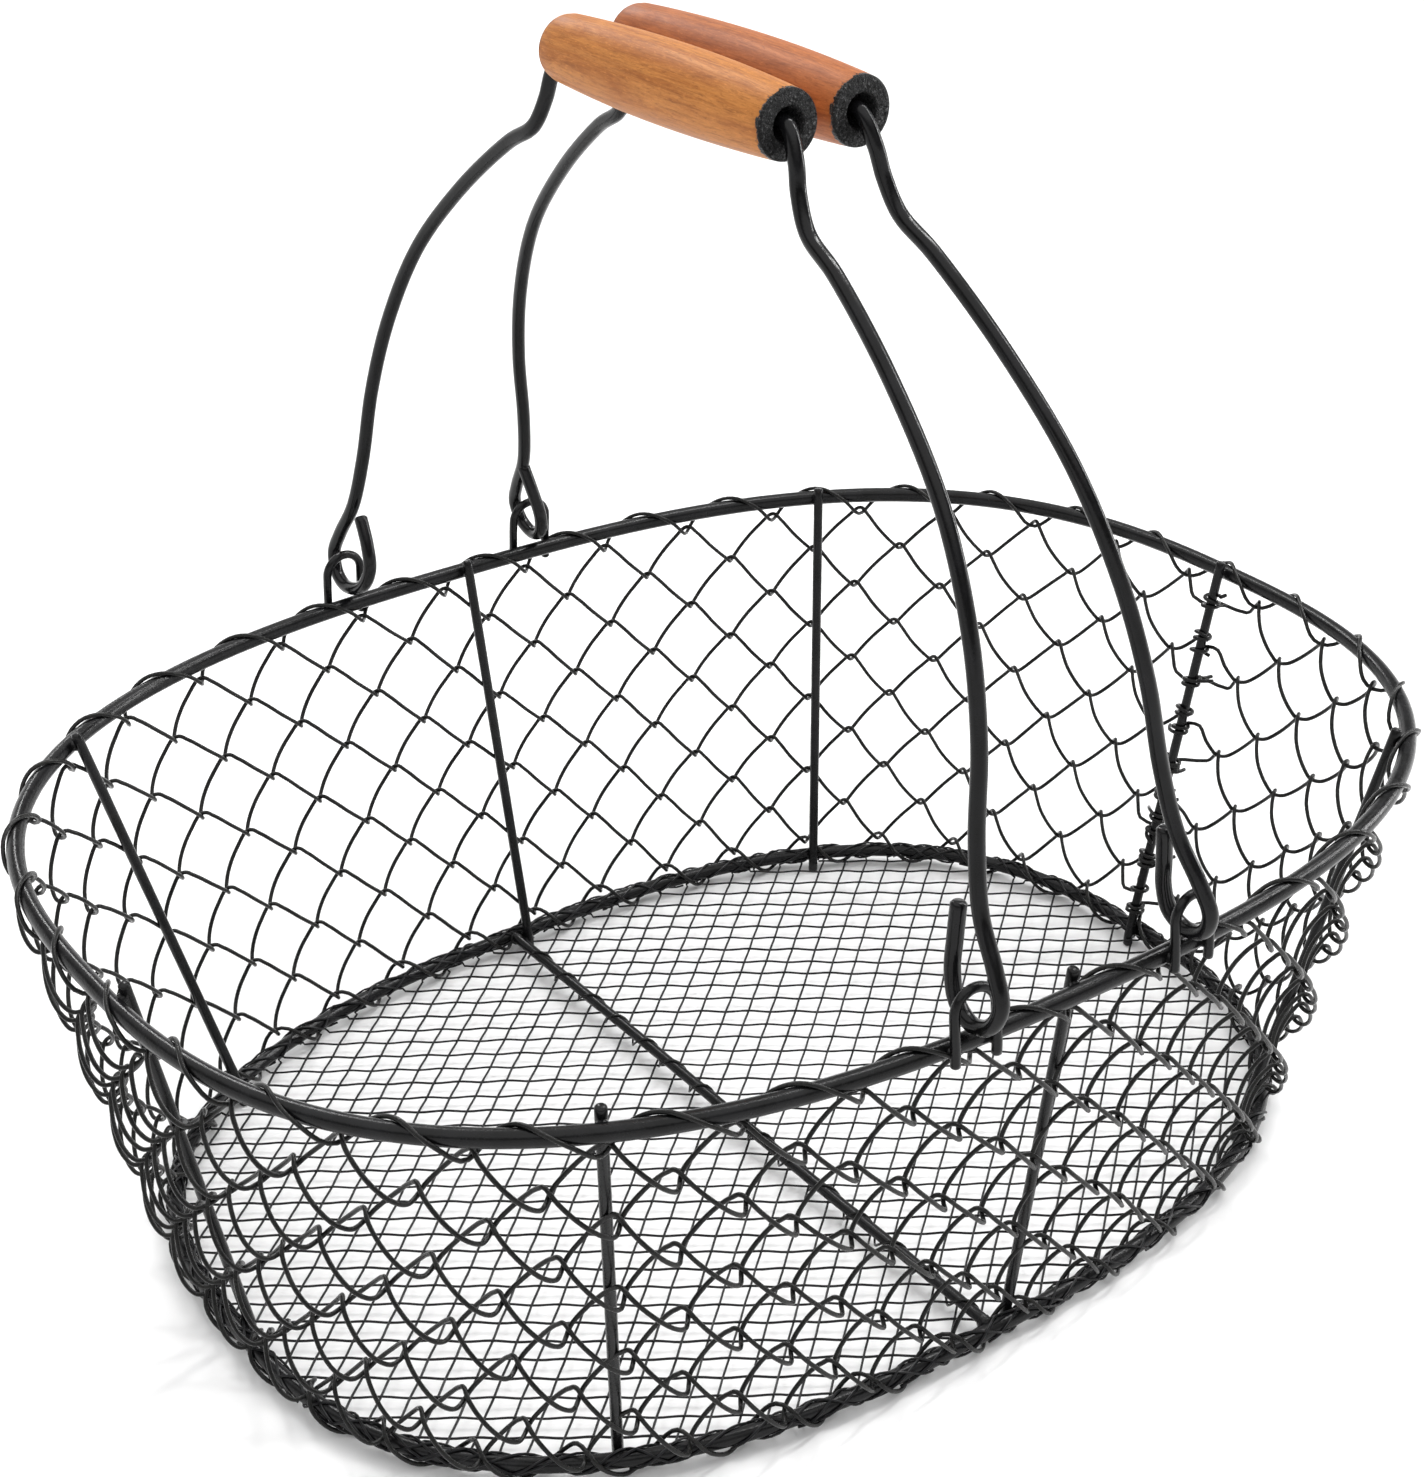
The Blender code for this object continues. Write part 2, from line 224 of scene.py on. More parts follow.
def piece(name, shells, finish, body, replaced=(), origin=None, sharp=50.0):
    """One object made of closed shells, riding on a body in place of CAD nodes."""
    points, faces, offset = [], [], 0
    for shell_points, quads, caps in shells:
        points.append(shell_points)
        faces += (quads + offset).tolist()
        faces += [[corner + offset for corner in cap] for cap in caps]
        offset += len(shell_points)
    points = np.vstack(points)
    if origin is not None:
        points = points - np.asarray(origin)
    mesh = bpy.data.meshes.new(name)
    mesh.from_pydata(points.tolist(), [], faces)
    mesh.shade_smooth()
    mesh.set_sharp_from_angle(angle=math.radians(sharp))
    mesh.materials.append(finish)
    made = bpy.data.objects.new(name, mesh)
    if origin is not None:
        made.location = origin
    bpy.context.scene.collection.objects.link(made)
    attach(made, body)
    if replaced:
        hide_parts(*replaced)
    return made


# ---- materials ---------------------------------------------------------------------------------
class Nodes:
    """A material's node tree, with short ways to add and join nodes."""

    def __init__(self, name):
        self.material = bpy.data.materials.new(name)
        self.material.use_nodes = True
        self.tree = self.material.node_tree
        self.shader = self.tree.nodes["Principled BSDF"]
        self.place = self.add("ShaderNodeTexCoord").outputs["Object"]

    def add(self, kind, **values):
        """A node; values set its inputs by name, with _ for a space."""
        node = self.tree.nodes.new(kind)
        for key, value in values.items():
            node.inputs[key.replace("_", " ")].default_value = value
        return node

    def join(self, output, node, socket):
        """Links an output to a node's socket."""
        self.tree.links.new(output, node.inputs[socket])

    def stretched(self, scale):
        """Object coordinates scaled along each axis."""
        mapping = self.add("ShaderNodeMapping", Scale=scale)
        self.join(self.place, mapping, "Vector")
        return mapping.outputs["Vector"]

    def noise(self, scale, detail=3.0, roughness=0.55, vector=None, distortion=0.0):
        """A noise value from 0 to 1."""
        node = self.add("ShaderNodeTexNoise", Scale=scale, Detail=detail, Roughness=roughness,
                        Distortion=distortion)
        self.join(vector or self.place, node, "Vector")
        return node.outputs["Fac"]

    def spread(self, value, low, high, out_low, out_high):
        """A value carried from one range to another."""
        node = self.add("ShaderNodeMapRange", From_Min=low, From_Max=high, To_Min=out_low, To_Max=out_high)
        self.join(value, node, "Value")
        return node.outputs["Result"]

    def ramp(self, value, *stops):
        """Colours along a value: stops are (place, colour)."""
        node = self.add("ShaderNodeValToRGB")
        elements = node.color_ramp.elements
        while len(elements) < len(stops):
            elements.new(0.5)
        for element, (where, colour) in zip(elements, stops):
            element.position = where
            element.color = (*colour, 1.0)
        self.join(value, node, "Fac")
        return node.outputs["Color"]

    def mix(self, share, first, second):
        """A colour with a second one, an output or a plain colour, mixed in by a share."""
        node = self.tree.nodes.new("ShaderNodeMix")
        node.data_type = "RGBA"
        self.tree.links.new(share, node.inputs[0])
        self.tree.links.new(first, node.inputs[6])
        if isinstance(second, tuple):
            node.inputs[7].default_value = (*second, 1.0)
        else:
            self.tree.links.new(second, node.inputs[7])
        return node.outputs[2]

    def maths(self, operation, first, second):
        """A sum, product or the like of a value with another value or number."""
        node = self.tree.nodes.new("ShaderNodeMath")
        node.operation = operation
        for socket, value in zip(node.inputs, (first, second)):
            if isinstance(value, (int, float)):
                socket.default_value = value
            else:
                self.tree.links.new(value, socket)
        return node.outputs[0]

    def ragged(self, scale, detail, reach):
        """A length that wanders either side of zero over the surface."""
        noise = self.noise(scale, detail=detail)
        return self.maths("MULTIPLY", self.maths("SUBTRACT", noise, 0.5), reach)

    def bump(self, height, strength, distance):
        """Small relief on the surface."""
        node = self.add("ShaderNodeBump", Strength=strength, Distance=distance)
        self.join(height, node, "Height")
        self.join(node.outputs["Normal"], self.shader, "Normal")


PAINT_SPECULAR = 0.24
PAINT_RELIEF = 0.2 * MM


def painted_wire(name, dark, light, gloss, dull, grain, relief):
    """Black paint on wire: faint blotches, uneven gloss and a fine orange-peel grain."""
    nodes = Nodes(name)
    blotch = nodes.noise(160.0, detail=4.0)
    nodes.join(nodes.ramp(blotch, (0.35, dark), (0.7, light)), nodes.shader, "Base Color")
    patches = nodes.noise(420.0, detail=5.0, roughness=0.65)
    nodes.join(nodes.spread(patches, 0.35, 0.65, gloss, dull), nodes.shader, "Roughness")
    nodes.bump(nodes.noise(grain, detail=4.0, roughness=0.6), relief, PAINT_RELIEF)
    nodes.shader.inputs["Specular IOR Level"].default_value = PAINT_SPECULAR
    return nodes.material


FRAME_PAINT = painted_wire("frame_wire_paint", (0.003, 0.003, 0.003), (0.009, 0.009, 0.010),
                           0.13, 0.28, 1500.0, 0.30)
BAIL_PAINT = painted_wire("bail_wire_paint", (0.003, 0.003, 0.003), (0.007, 0.007, 0.008),
                          0.10, 0.22, 1300.0, 0.16)
NET_PAINT = painted_wire("net_wire_paint", (0.004, 0.004, 0.004), (0.014, 0.014, 0.013),
                         0.16, 0.36, 2200.0, 0.25)
FLOOR_PAINT = painted_wire("floor_wire_paint", (0.004, 0.004, 0.005), (0.012, 0.012, 0.013),
                           0.26, 0.46, 2600.0, 0.20)

GRIP_BORE_RADIUS = 3.7 * MM
BORE_PAINT = 0.6 * MM         # black paint from the bore out to this far past its edge; inside, the bore is black as painted shade
FACE_PAINT = 0.4 * MM         # and over the whole front face, this deep
GRIP_PAINT_FRONT = 0.8 * MM   # black of the end faces runs this far onto the side
GRIP_PAINT_BACK = 0.7 * MM
PAINT_FADE_FRONT = 0.35 * MM  # lengths over which it ends
PAINT_FADE_BACK = 1.4 * MM
PAINT_RUNS = 3.2 * MM         # raggedness of its line: broad runs and fine spray
PAINT_SPRAY = 2.4 * MM
BACK_SPRAY_SHARE = 0.4
GRIP_SPECULAR = 0.20
GRIP_RELIEF = 0.6 * MM
# Colours of the black end paint: near black, and the grey of the last stop is painted highlights, glints
# painted into the colour
BLACK_PAINT_AND_GLINTS = [(0.50, (0.004, 0.004, 0.004)), (0.60, (0.020, 0.020, 0.021)), (0.68, (0.16, 0.16, 0.16))]


def wood_colour(nodes, figure, fibre, pale, deep, streak):
    """Lengthwise figure and fibres, short dark flecks with pale gleams between, and broad clouds."""
    fleck = nodes.noise(1900.0, detail=3.0, roughness=0.7, vector=nodes.stretched((1.0, 0.22, 1.0)))
    cloud = nodes.noise(70.0, detail=4.0, vector=nodes.stretched((1.0, 0.35, 1.0)))
    gleam = tuple(1.35 * value for value in pale)
    colour = nodes.ramp(figure, (0.34, deep), (0.47, pale), (0.58, deep), (0.68, pale))
    colour = nodes.mix(nodes.spread(fibre, 0.48, 0.68, 0.0, 0.75), colour, streak)
    colour = nodes.mix(nodes.spread(fleck, 0.56, 0.70, 0.0, 0.60), colour, streak)
    colour = nodes.mix(nodes.spread(fleck, 0.46, 0.30, 0.0, 0.45), colour, gleam)
    return nodes.mix(nodes.spread(cloud, 0.50, 0.72, 0.0, 0.45), colour, deep)


def distance_from_axis(nodes, split):
    """Distance from the grip's axis, from the parts of its object coordinates."""
    across = nodes.add("ShaderNodeCombineXYZ")
    nodes.join(split.outputs["X"], across, "X")
    nodes.join(split.outputs["Z"], across, "Z")
    length = nodes.tree.nodes.new("ShaderNodeVectorMath")
    length.operation = "LENGTH"
    nodes.join(across.outputs["Vector"], length, "Vector")
    return length.outputs["Value"]


def end_paint_and_bore_shade(nodes):
    """Where the black paint is: on the faces and up to a ragged line near each end; the bore is black
    inside as painted shade, with paint only at its mouth.
    """
    split = nodes.add("ShaderNodeSeparateXYZ")
    nodes.join(nodes.place, split, "Vector")
    along = split.outputs["Y"]
    # painted shade: the whole bore is black inside, with real paint only round its mouth
    bore_shade_and_paint = nodes.maths("LESS_THAN", distance_from_axis(nodes, split), GRIP_BORE_RADIUS + BORE_PAINT)
    on_face = nodes.maths("LESS_THAN", along, FACE_PAINT - GRIP_HALF)
    spray = nodes.ragged(1500.0, 4.0, PAINT_SPRAY)
    ragged = nodes.maths("ADD", nodes.ragged(330.0, 2.0, PAINT_RUNS), spray)
    front_line = GRIP_PAINT_FRONT - GRIP_HALF
    front_place = nodes.maths("ADD", along, ragged)
    front = nodes.spread(front_place, front_line, front_line + PAINT_FADE_FRONT, 1.0, 0.0)
    back_line = GRIP_HALF - GRIP_PAINT_BACK
    back_place = nodes.maths("ADD", along, nodes.maths("MULTIPLY", spray, BACK_SPRAY_SHARE))
    back = nodes.spread(back_place, back_line - PAINT_FADE_BACK, back_line, 0.0, 0.9)
    ends = nodes.maths("MAXIMUM", front, back)
    return nodes.maths("MAXIMUM", ends, nodes.maths("MAXIMUM", bore_shade_and_paint, on_face))


def grip_finish(name, pale, deep, streak):
    """Oiled wood, with its ends dipped in rough black paint whose grey glints are painted highlights."""
    nodes = Nodes(name)
    along = nodes.stretched((1.0, 0.05, 1.0))
    figure = nodes.noise(190.0, detail=7.0, roughness=0.66, vector=along, distortion=0.8)
    fibre = nodes.noise(1500.0, detail=6.0, roughness=0.75, vector=along)
    speckle_and_glints = nodes.noise(1500.0, detail=3.0, roughness=0.75)
    wood = wood_colour(nodes, figure, fibre, pale, deep, streak)
    # colour of the end paint with painted highlights: its grey glints stand in for light off the rough
    # grains
    paint = nodes.ramp(speckle_and_glints, *BLACK_PAINT_AND_GLINTS)
    # this black mask holds the end paint and also the painted shade inside the bore
    painted = end_paint_and_bore_shade(nodes)
    bare = nodes.maths("SUBTRACT", 1.0, painted)
    nodes.join(nodes.mix(painted, wood, paint), nodes.shader, "Base Color")
    wood_gloss = nodes.maths("MULTIPLY", nodes.spread(figure, 0.3, 0.7, 0.40, 0.56), bare)
    paint_gloss = nodes.maths("MULTIPLY", nodes.spread(speckle_and_glints, 0.35, 0.65, 0.16, 0.42), painted)
    nodes.join(nodes.maths("ADD", wood_gloss, paint_gloss), nodes.shader, "Roughness")
    grain = nodes.maths("MULTIPLY", fibre, 0.10)
    lumps = nodes.maths("MULTIPLY", speckle_and_glints, nodes.maths("MULTIPLY", painted, 1.8))
    nodes.bump(nodes.maths("ADD", grain, lumps), 0.9, GRIP_RELIEF)
    nodes.shader.inputs["Specular IOR Level"].default_value = GRIP_SPECULAR
    return nodes.material


GRIP_FINISH = {
    "left": grip_finish("grip_wood_left_finish", (0.540, 0.212, 0.050), (0.385, 0.126, 0.026),
                        (0.235, 0.072, 0.017)),
    "right": grip_finish("grip_wood_right_finish", (0.455, 0.148, 0.044), (0.315, 0.092, 0.027),
                         (0.185, 0.050, 0.016)),
}

# ---- rings, rods and bar -------------------------------------------------------------------------
RING_STEPS = 480


def ring_shell(table, height, radius):
    """A closed oval wire, its thickness very slightly uneven under the paint."""
    columns = COLUMNS * np.arange(RING_STEPS) / RING_STEPS
    phase = 2.0 * math.pi * columns / COLUMNS
    swell = 1.0 + 0.006 * np.sin(7.0 * phase + 0.4) + 0.004 * np.sin(19.0 * phase)
    return tube(oval_points(table, columns, height), radius * swell, sides=16, closed=True)


def weld(first, second, radius):
    """A short lump of weld between two touching wires, uneven in outline."""
    first, second = np.asarray(first), np.asarray(second)
    shares = np.linspace(0.0, 1.0, 7)
    route = first + (second - first) * shares[:, None]
    swell = [chance.uniform(0.92, 1.12) for _ in shares]
    return tube(route, radius * np.array(swell) * (0.72 + 0.28 * np.sin(math.pi * shares)), sides=10)


STRUT_TOP = 3.0 * MM
FOOT_LENGTH = 3.0 * MM
FOOT_CLEARANCE = 0.03 * MM    # keeps the cut ends just clear of the standing surface
STRUT_BEND = 3.0 * MM         # length over which a rod turns into its foot
STRUT_INSET = RIM_RADIUS + STRUT_RADIUS + GAP
RIM_WELD = 1.30 * MM
BASE_WELD = 1.35 * MM
BAR_WELD = 1.9 * MM
EYE_WELD = 1.25 * MM
# The rods aren't quite evenly spaced: shifts in columns (at the rim, at the base), anticlockwise
STRUT_SHIFT = {2: (0.38, 0.31), 4: (0.53, 0.14), 5: (0.5, 0.0), 6: (0.34, 0.19), 7: (-0.18, 0.18),
               8: (0.56, 0.0)}


def strut_ends(number):
    """Places on both rings, and the rod's top, last bend and foot."""
    column = (number - 1) * PER_BAY
    rim_shift, base_shift = STRUT_SHIFT.get(number, (0.0, 0.0))
    rim, _, rim_outward, down = wall_frame(column + rim_shift)
    _, base, base_outward, _ = wall_frame(column + base_shift)
    top = rim - rim_outward * STRUT_INSET - down * STRUT_TOP
    ankle = base - base_outward * STRUT_INSET
    ankle[2] = FOOT_LENGTH
    foot = np.array([ankle[0], ankle[1], CUT_ROUNDING * STRUT_RADIUS + FOOT_CLEARANCE])
    return rim, base, top, ankle, foot


def strut(number):
    """An upright rod welded inside both rings, with rounded cut ends."""
    rim, base, top, ankle, foot = strut_ends(number)
    axis = unit(ankle - top)
    bend = ankle - axis * STRUT_BEND
    span = [top + (bend - top) * share for share in np.linspace(0.0, 1.0, 24)]
    turn = [ankle - axis * 0.8 * MM, ankle - (0.0, 0.0, 0.7 * MM)]
    route = smooth_route(span + turn + [foot], 2)
    steps = np.linspace(0.0, 1.0, len(route))
    swell = 1.0 + 0.012 * np.sin(31.0 * steps + number)
    near_rim = top + axis * np.dot(rim - top, axis)
    near_base = ankle + (0.0, 0.0, 0.9 * MM)
    shells = [tube(route, STRUT_RADIUS * swell, sides=14),
              weld(near_rim, rim, RIM_WELD),
              weld(near_base, base, BASE_WELD)]
    piece(f"rod_{number}", shells, FRAME_PAINT, "basket", [f"strut_{number}"])


def cross_bar():
    """The bar under which the floor hangs, welded to the base ring at both ends."""
    reach = BAR_HALF + 0.5 * MM
    y = np.linspace(-reach, reach, 60)
    wobble = 0.10 * MM * np.sin(y * 55.0)
    route = np.stack([BAR.x + wobble, y, np.full(y.shape, BAR.z)], -1)
    swell = 1.0 + 0.02 * np.sin(y * 410.0) + 0.015 * np.sin(y * 1130.0)
    shells = [tube(route, BAR_RADIUS * swell, sides=14)]
    for side in (-1, 1):
        inner = np.array([BAR.x, side * (BAR_HALF - 1.5 * MM), BAR.z])
        outer = np.array([BAR.x, side * (BASE_HALF[1] - 0.6 * MM), BASE_Z])
        shells.append(weld(inner, outer, BAR_WELD))
    piece("floor_bar", shells, FRAME_PAINT, "basket", ["base_cross_bar"])


for name, table, height, radius, node in (
        ("rim_wire", RIM_OVAL, RIM_Z, RIM_RADIUS, "rim_ring"),
        ("base_wire", BASE_OVAL, BASE_Z, BASE_RADIUS, "base_ring")):
    piece(name, [ring_shell(table, height, radius)], FRAME_PAINT, "basket", [node])
for number in range(1, STRUTS + 1):
    strut(number)
cross_bar()

# ---- side net: flattened spirals clasped through each other ---------------------------------------
NET_TOP = 4.5 * MM            # first row line below the rim centre line
NET_BOTTOM = 4.5 * MM         # last row line above the base centre line
CLASP = 0.76 * MM             # how far a bend reaches past its row line
NODE_DRIFT = (0.025, 0.45 * MM, 0.35 * MM)   # unevenness of a clasp: columns, down, out

# One zigzag: (share of a column, share of the fall, clasp reach, out in mm). It starts at a top
# bend, runs down the bowed outer leg, turns in at the bottom bend and runs up the straight inner leg.
ZIGZAG = [
    (0.000, 0.00, -1.0, -0.10), (0.030, 0.00, -0.60, 0.60), (0.062, 0.03, 0.0, 1.15),
    (0.130, 0.20, 0.0, 1.90), (0.235, 0.45, 0.0, 2.70), (0.345, 0.73, 0.0, 3.00),
    (0.430, 0.95, 0.0, 2.60), (0.470, 1.00, 0.60, 2.00), (0.500, 1.00, 1.0, 0.95),
    (0.530, 1.00, 0.60, -0.20), (0.570, 0.95, 0.0, -1.10), (0.665, 0.75, 0.0, -2.15),
    (0.790, 0.46, 0.0, -2.60), (0.890, 0.18, 0.0, -2.00), (0.938, 0.05, 0.0, -1.35),
    (0.970, 0.00, -0.60, -0.85),
]
END_FLARE = 0.30              # outer legs stand further out round the two ends of the oval
CORNER_FLARE = 0.85           # and further still round the slack front left corner
CORNER_ANGLE = math.radians(220.0)


def row_drop(columns, row):
    """Distance of a row line below the rim centre line."""
    return NET_TOP + (wall_slant(columns) - NET_TOP - NET_BOTTOM) * row / ROWS


def row_offset(line):
    """Columns by which the clasps on a row line are shifted."""
    return 0.5 if line % 2 == 0 else 0.0


CLASP_DRIFT = [[[chance.uniform(-limit, limit) for limit in NODE_DRIFT] for _ in range(COLUMNS)]
               for _ in range(ROWS + 1)]
EDGE_DRIFT_SHARE = 0.4        # the lacing holds the first and last clasps steadier


def clasp_drift(line, column):
    """How far the clasp on a row line nearest a column is off its even place."""
    drift = CLASP_DRIFT[line][int(round(column - row_offset(line))) % COLUMNS]
    scale = EDGE_DRIFT_SHARE if line in (0, ROWS) else 1.0
    return [scale * value for value in drift]


def zigzag_points(row, turn):
    """One zigzag of a net wire as (column, drop, out) triples."""
    top = turn + row_offset(row)
    bends = [(top, row), (top + 0.5, row + 1), (top + 1.0, row)]
    drifts = [clasp_drift(line, column) for column, line in bends]
    triples = []
    for share, fall, reach, out in ZIGZAG:
        leg = 0 if share < 0.5 else 1
        along = share * 2.0 - leg
        du, dv, dw = (a + (b - a) * along for a, b in zip(drifts[leg], drifts[leg + 1]))
        column = top + share
        high, low = row_drop(column, row), row_drop(column, row + 1)
        phase = 2.0 * math.pi * column / COLUMNS
        end_on = abs(math.cos(phase)) ** 3
        at_corner = max(0.0, math.cos(phase - CORNER_ANGLE)) ** 4
        flare = 1.0 + END_FLARE * end_on + CORNER_FLARE * at_corner if out > 0 else 1.0
        drop = high + (low - high) * fall + reach * CLASP + dv
        triples.append((column + du, drop, out * MM * flare + dw))
    return triples


SEAM_TURNS = (0.8, 1.7)       # least and most turns of a cut end round the seam rod
SEAM_REACH = 0.20             # net wires leave their pattern this far from the seam, in columns
SEAM_SPREAD = 2.5 * MM        # and meet the rod up to this far above or below their place
COIL_RADIUS = STRUT_RADIUS + NET_RADIUS + 0.15 * MM
COIL_SLACK = 0.18             # looseness of the coils, as a share of their radius
COIL_PITCH = (1.25 * MM, 1.9 * MM)
COIL_STEPS = 10               # points to a turn
TAIL_LENGTH = (1.5 * MM, 4.5 * MM)


def seam_coil(drop, side, turns):
    """A cut end wound round the seam rod, then a loose tail; starts on the given side."""
    _, _, top, ankle, _ = strut_ends(1)
    axis = unit(ankle - top)
    outward, across = wall_frame(0.0)[2], np.array([0.0, 1.0, 0.0])
    centre = top + axis * (drop + STRUT_TOP)
    pitch = chance.uniform(*COIL_PITCH)
    climb = chance.choice((-1.0, 1.0))
    points = []
    steps = int(turns * COIL_STEPS)
    for i in range(steps + 1):
        angle = 2.0 * math.pi * turns * i / steps
        swing = COIL_RADIUS * (1.0 + COIL_SLACK * chance.random())
        round_about = outward * math.cos(angle) + across * side * math.sin(angle)
        points.append(centre + round_about * swing + axis * climb * pitch * turns * i / steps)
    direction = unit(points[-1] - points[-2])
    length = chance.uniform(*TAIL_LENGTH)
    lift = outward * 0.8 + np.array([chance.uniform(-0.6, 0.6) for _ in range(3)])
    for share in (0.35, 0.7, 1.0):
        points.append(points[steps] + direction * length * share + lift * length * share ** 2)
    return points


def net_row(row):
    """One net wire all the way round, its two cut ends wound round the seam rod."""
    triples = []
    for turn in range(-1, COLUMNS + 1):
        triples += zigzag_points(row, turn)
    kept = [t for t in triples if SEAM_REACH < t[0] < COLUMNS - SEAM_REACH]
    body = wall_points(*(np.array(values) for values in zip(*kept)))
    height = kept[0][1]
    start = seam_coil(height + chance.uniform(-SEAM_SPREAD, SEAM_SPREAD), 1, chance.uniform(*SEAM_TURNS))
    height = kept[-1][1]
    finish = seam_coil(height + chance.uniform(-SEAM_SPREAD, SEAM_SPREAD), -1, chance.uniform(*SEAM_TURNS))
    route = smooth_route(np.vstack([start[::-1], body, finish]), 3)
    piece(f"net_row_{row + 1}", [tube(route, NET_RADIUS, sides=8)], NET_PAINT, "basket",
          [f"net_wire_{row + 1}"])


for row in range(ROWS):
    net_row(row)


# ---- lacing round the two rings --------------------------------------------------------------------
LACE_STEPS = 22               # points to a turn
LACE_HOOK = 5.5 * MM          # the lacing reaches this far to catch the bends of the net
LACE_START = 0.15             # columns from the seam to its first turn
LACE_DRIFT = 0.05             # unevenness of the turns, in columns
RIM_SLACK = 0.25 * MM
BASE_SLACK = 0.2 * MM


def lacing(name, ring_drop, hug, hook_angle, node, loose):
    """A spiral round a ring, one turn a column, drawn out at hook_angle to thread the net."""
    count = COLUMNS * LACE_STEPS
    columns = np.arange(count + 1) / LACE_STEPS + LACE_START
    drifts = [chance.uniform(-LACE_DRIFT, LACE_DRIFT) for _ in range(COLUMNS + 2)]
    wobble = np.interp(columns, range(COLUMNS + 2), drifts)
    slacks = [chance.random() ** 2 * loose for _ in range(2 * COLUMNS + 4)]
    slack = np.interp(columns, np.arange(2 * COLUMNS + 4) / 2, slacks)
    angle = 2.0 * math.pi * (columns + wobble)
    drawn = (0.5 + 0.5 * np.cos(angle - hook_angle)) ** 4
    reach = hug + slack * (1.0 - drawn) + (LACE_HOOK - hug) * drawn
    drops = ring_drop(columns) - reach * np.cos(angle)
    route = wall_points(columns, drops, reach * np.sin(angle))
    piece(name, [tube(route, NET_RADIUS, sides=8)], NET_PAINT, "basket", [node])


lacing("rim_binding", np.zeros_like, RIM_RADIUS + NET_RADIUS, math.pi, "rim_lacing", RIM_SLACK)
lacing("base_binding", wall_slant, BASE_RADIUS + NET_RADIUS + 2 * FLOOR_RADIUS, 0.0, "base_lacing",
       BASE_SLACK)

# ---- woven floor -------------------------------------------------------------------------------------
FLOOR_PITCH = 6.33 * MM
FLOOR_HEADINGS = (math.radians(-36.0), math.radians(41.5))   # directions of the two sets of wires
FLOOR_WAVE = 0.21 * MM        # each wire rises and dips this far where it crosses the others
FLOOR_DRIFT = 0.05            # unevenness of the spacing, in pitches
FLOOR_EDGE = 2.3 * MM         # wires turn round the ring from here
FLOOR_STEPS = 4               # points between two crossings
WRAP_TURN = 0.95              # turns of each wire end round the base ring
WRAP_LENGTH = (17.0 * MM, 29.0 * MM)   # least and most length that it runs along the ring
WRAP_START = math.radians(215.0)       # it meets the ring low on its inner side
WRAP_STEPS = 14
WRAP_SPRING = 0.05            # looseness of the wraps, as a share of their radius
NEARBY = 0.1                  # columns either side that give the direction along the ring

along_a, along_b = (np.array([math.cos(h), math.sin(h)]) for h in FLOOR_HEADINGS)
CELL = FLOOR_PITCH / math.sin(FLOOR_HEADINGS[1] - FLOOR_HEADINGS[0])
REACH = 34                    # cells counted each way from the middle


def floor_warp(points):
    """Gentle unevenness of the cloth, as cut and stretched by hand."""
    x, y = points[:, 0], points[:, 1]
    warped = points.copy()
    warped[:, 0] += 1.1 * MM * np.sin(y * 21.0 + 0.6) + 0.5 * MM * np.sin(x * 37.0 + y * 18.0)
    warped[:, 1] += 1.2 * MM * np.sin(x * 17.0 + 0.9) + 0.5 * MM * np.sin(y * 41.0 - x * 13.0)
    return warped


def inside_base(points, inset):
    """Whether points are inside the base oval, less an inset."""
    x = np.abs(points[:, 0]) / (BASE_HALF[0] - inset)
    y = np.abs(points[:, 1]) / (BASE_HALF[1] - inset)
    return x ** OVAL_POWER + y ** OVAL_POWER < 1.0


def base_column(point):
    """The column of the base ring nearest a point close to it."""
    columns = np.arange(0, COLUMNS, 0.02)
    ring = oval_points(BASE_OVAL, columns, BASE_Z)
    return columns[np.argmin(np.hypot(ring[:, 0] - point[0], ring[:, 1] - point[1]))]


def wrap_round_base(end, heading):
    """A wire end laid round and along the base ring: under it, up outside and over, back inside."""
    column = base_column(end)
    ring = oval_points(BASE_OVAL, [column - NEARBY, column + NEARBY], BASE_Z)
    spacing = np.linalg.norm(ring[1] - ring[0]) / (2 * NEARBY)
    length = math.copysign(chance.uniform(*WRAP_LENGTH), float(np.dot(heading, ring[1] - ring[0])))
    shares = np.arange(WRAP_STEPS + 1) / WRAP_STEPS
    columns = column + shares * length / spacing
    middle = oval_points(BASE_OVAL, columns, BASE_Z)
    ahead = oval_points(BASE_OVAL, columns + NEARBY, BASE_Z)
    behind = oval_points(BASE_OVAL, columns - NEARBY, BASE_Z)
    along = unit(ahead - behind)
    outward = np.stack([along[:, 1], -along[:, 0], 0.0 * shares], -1)
    turns = WRAP_TURN * chance.uniform(0.75, 1.1)
    angle = WRAP_START - 2.0 * math.pi * turns * shares
    spring = 1.0 + WRAP_SPRING * np.array([chance.random() for _ in shares])
    round_about = outward * np.cos(angle)[:, None] + np.array([0.0, 0.0, 1.0]) * np.sin(angle)[:, None]
    return list(middle + round_about * (BASE_RADIUS + FLOOR_RADIUS) * spring[:, None])


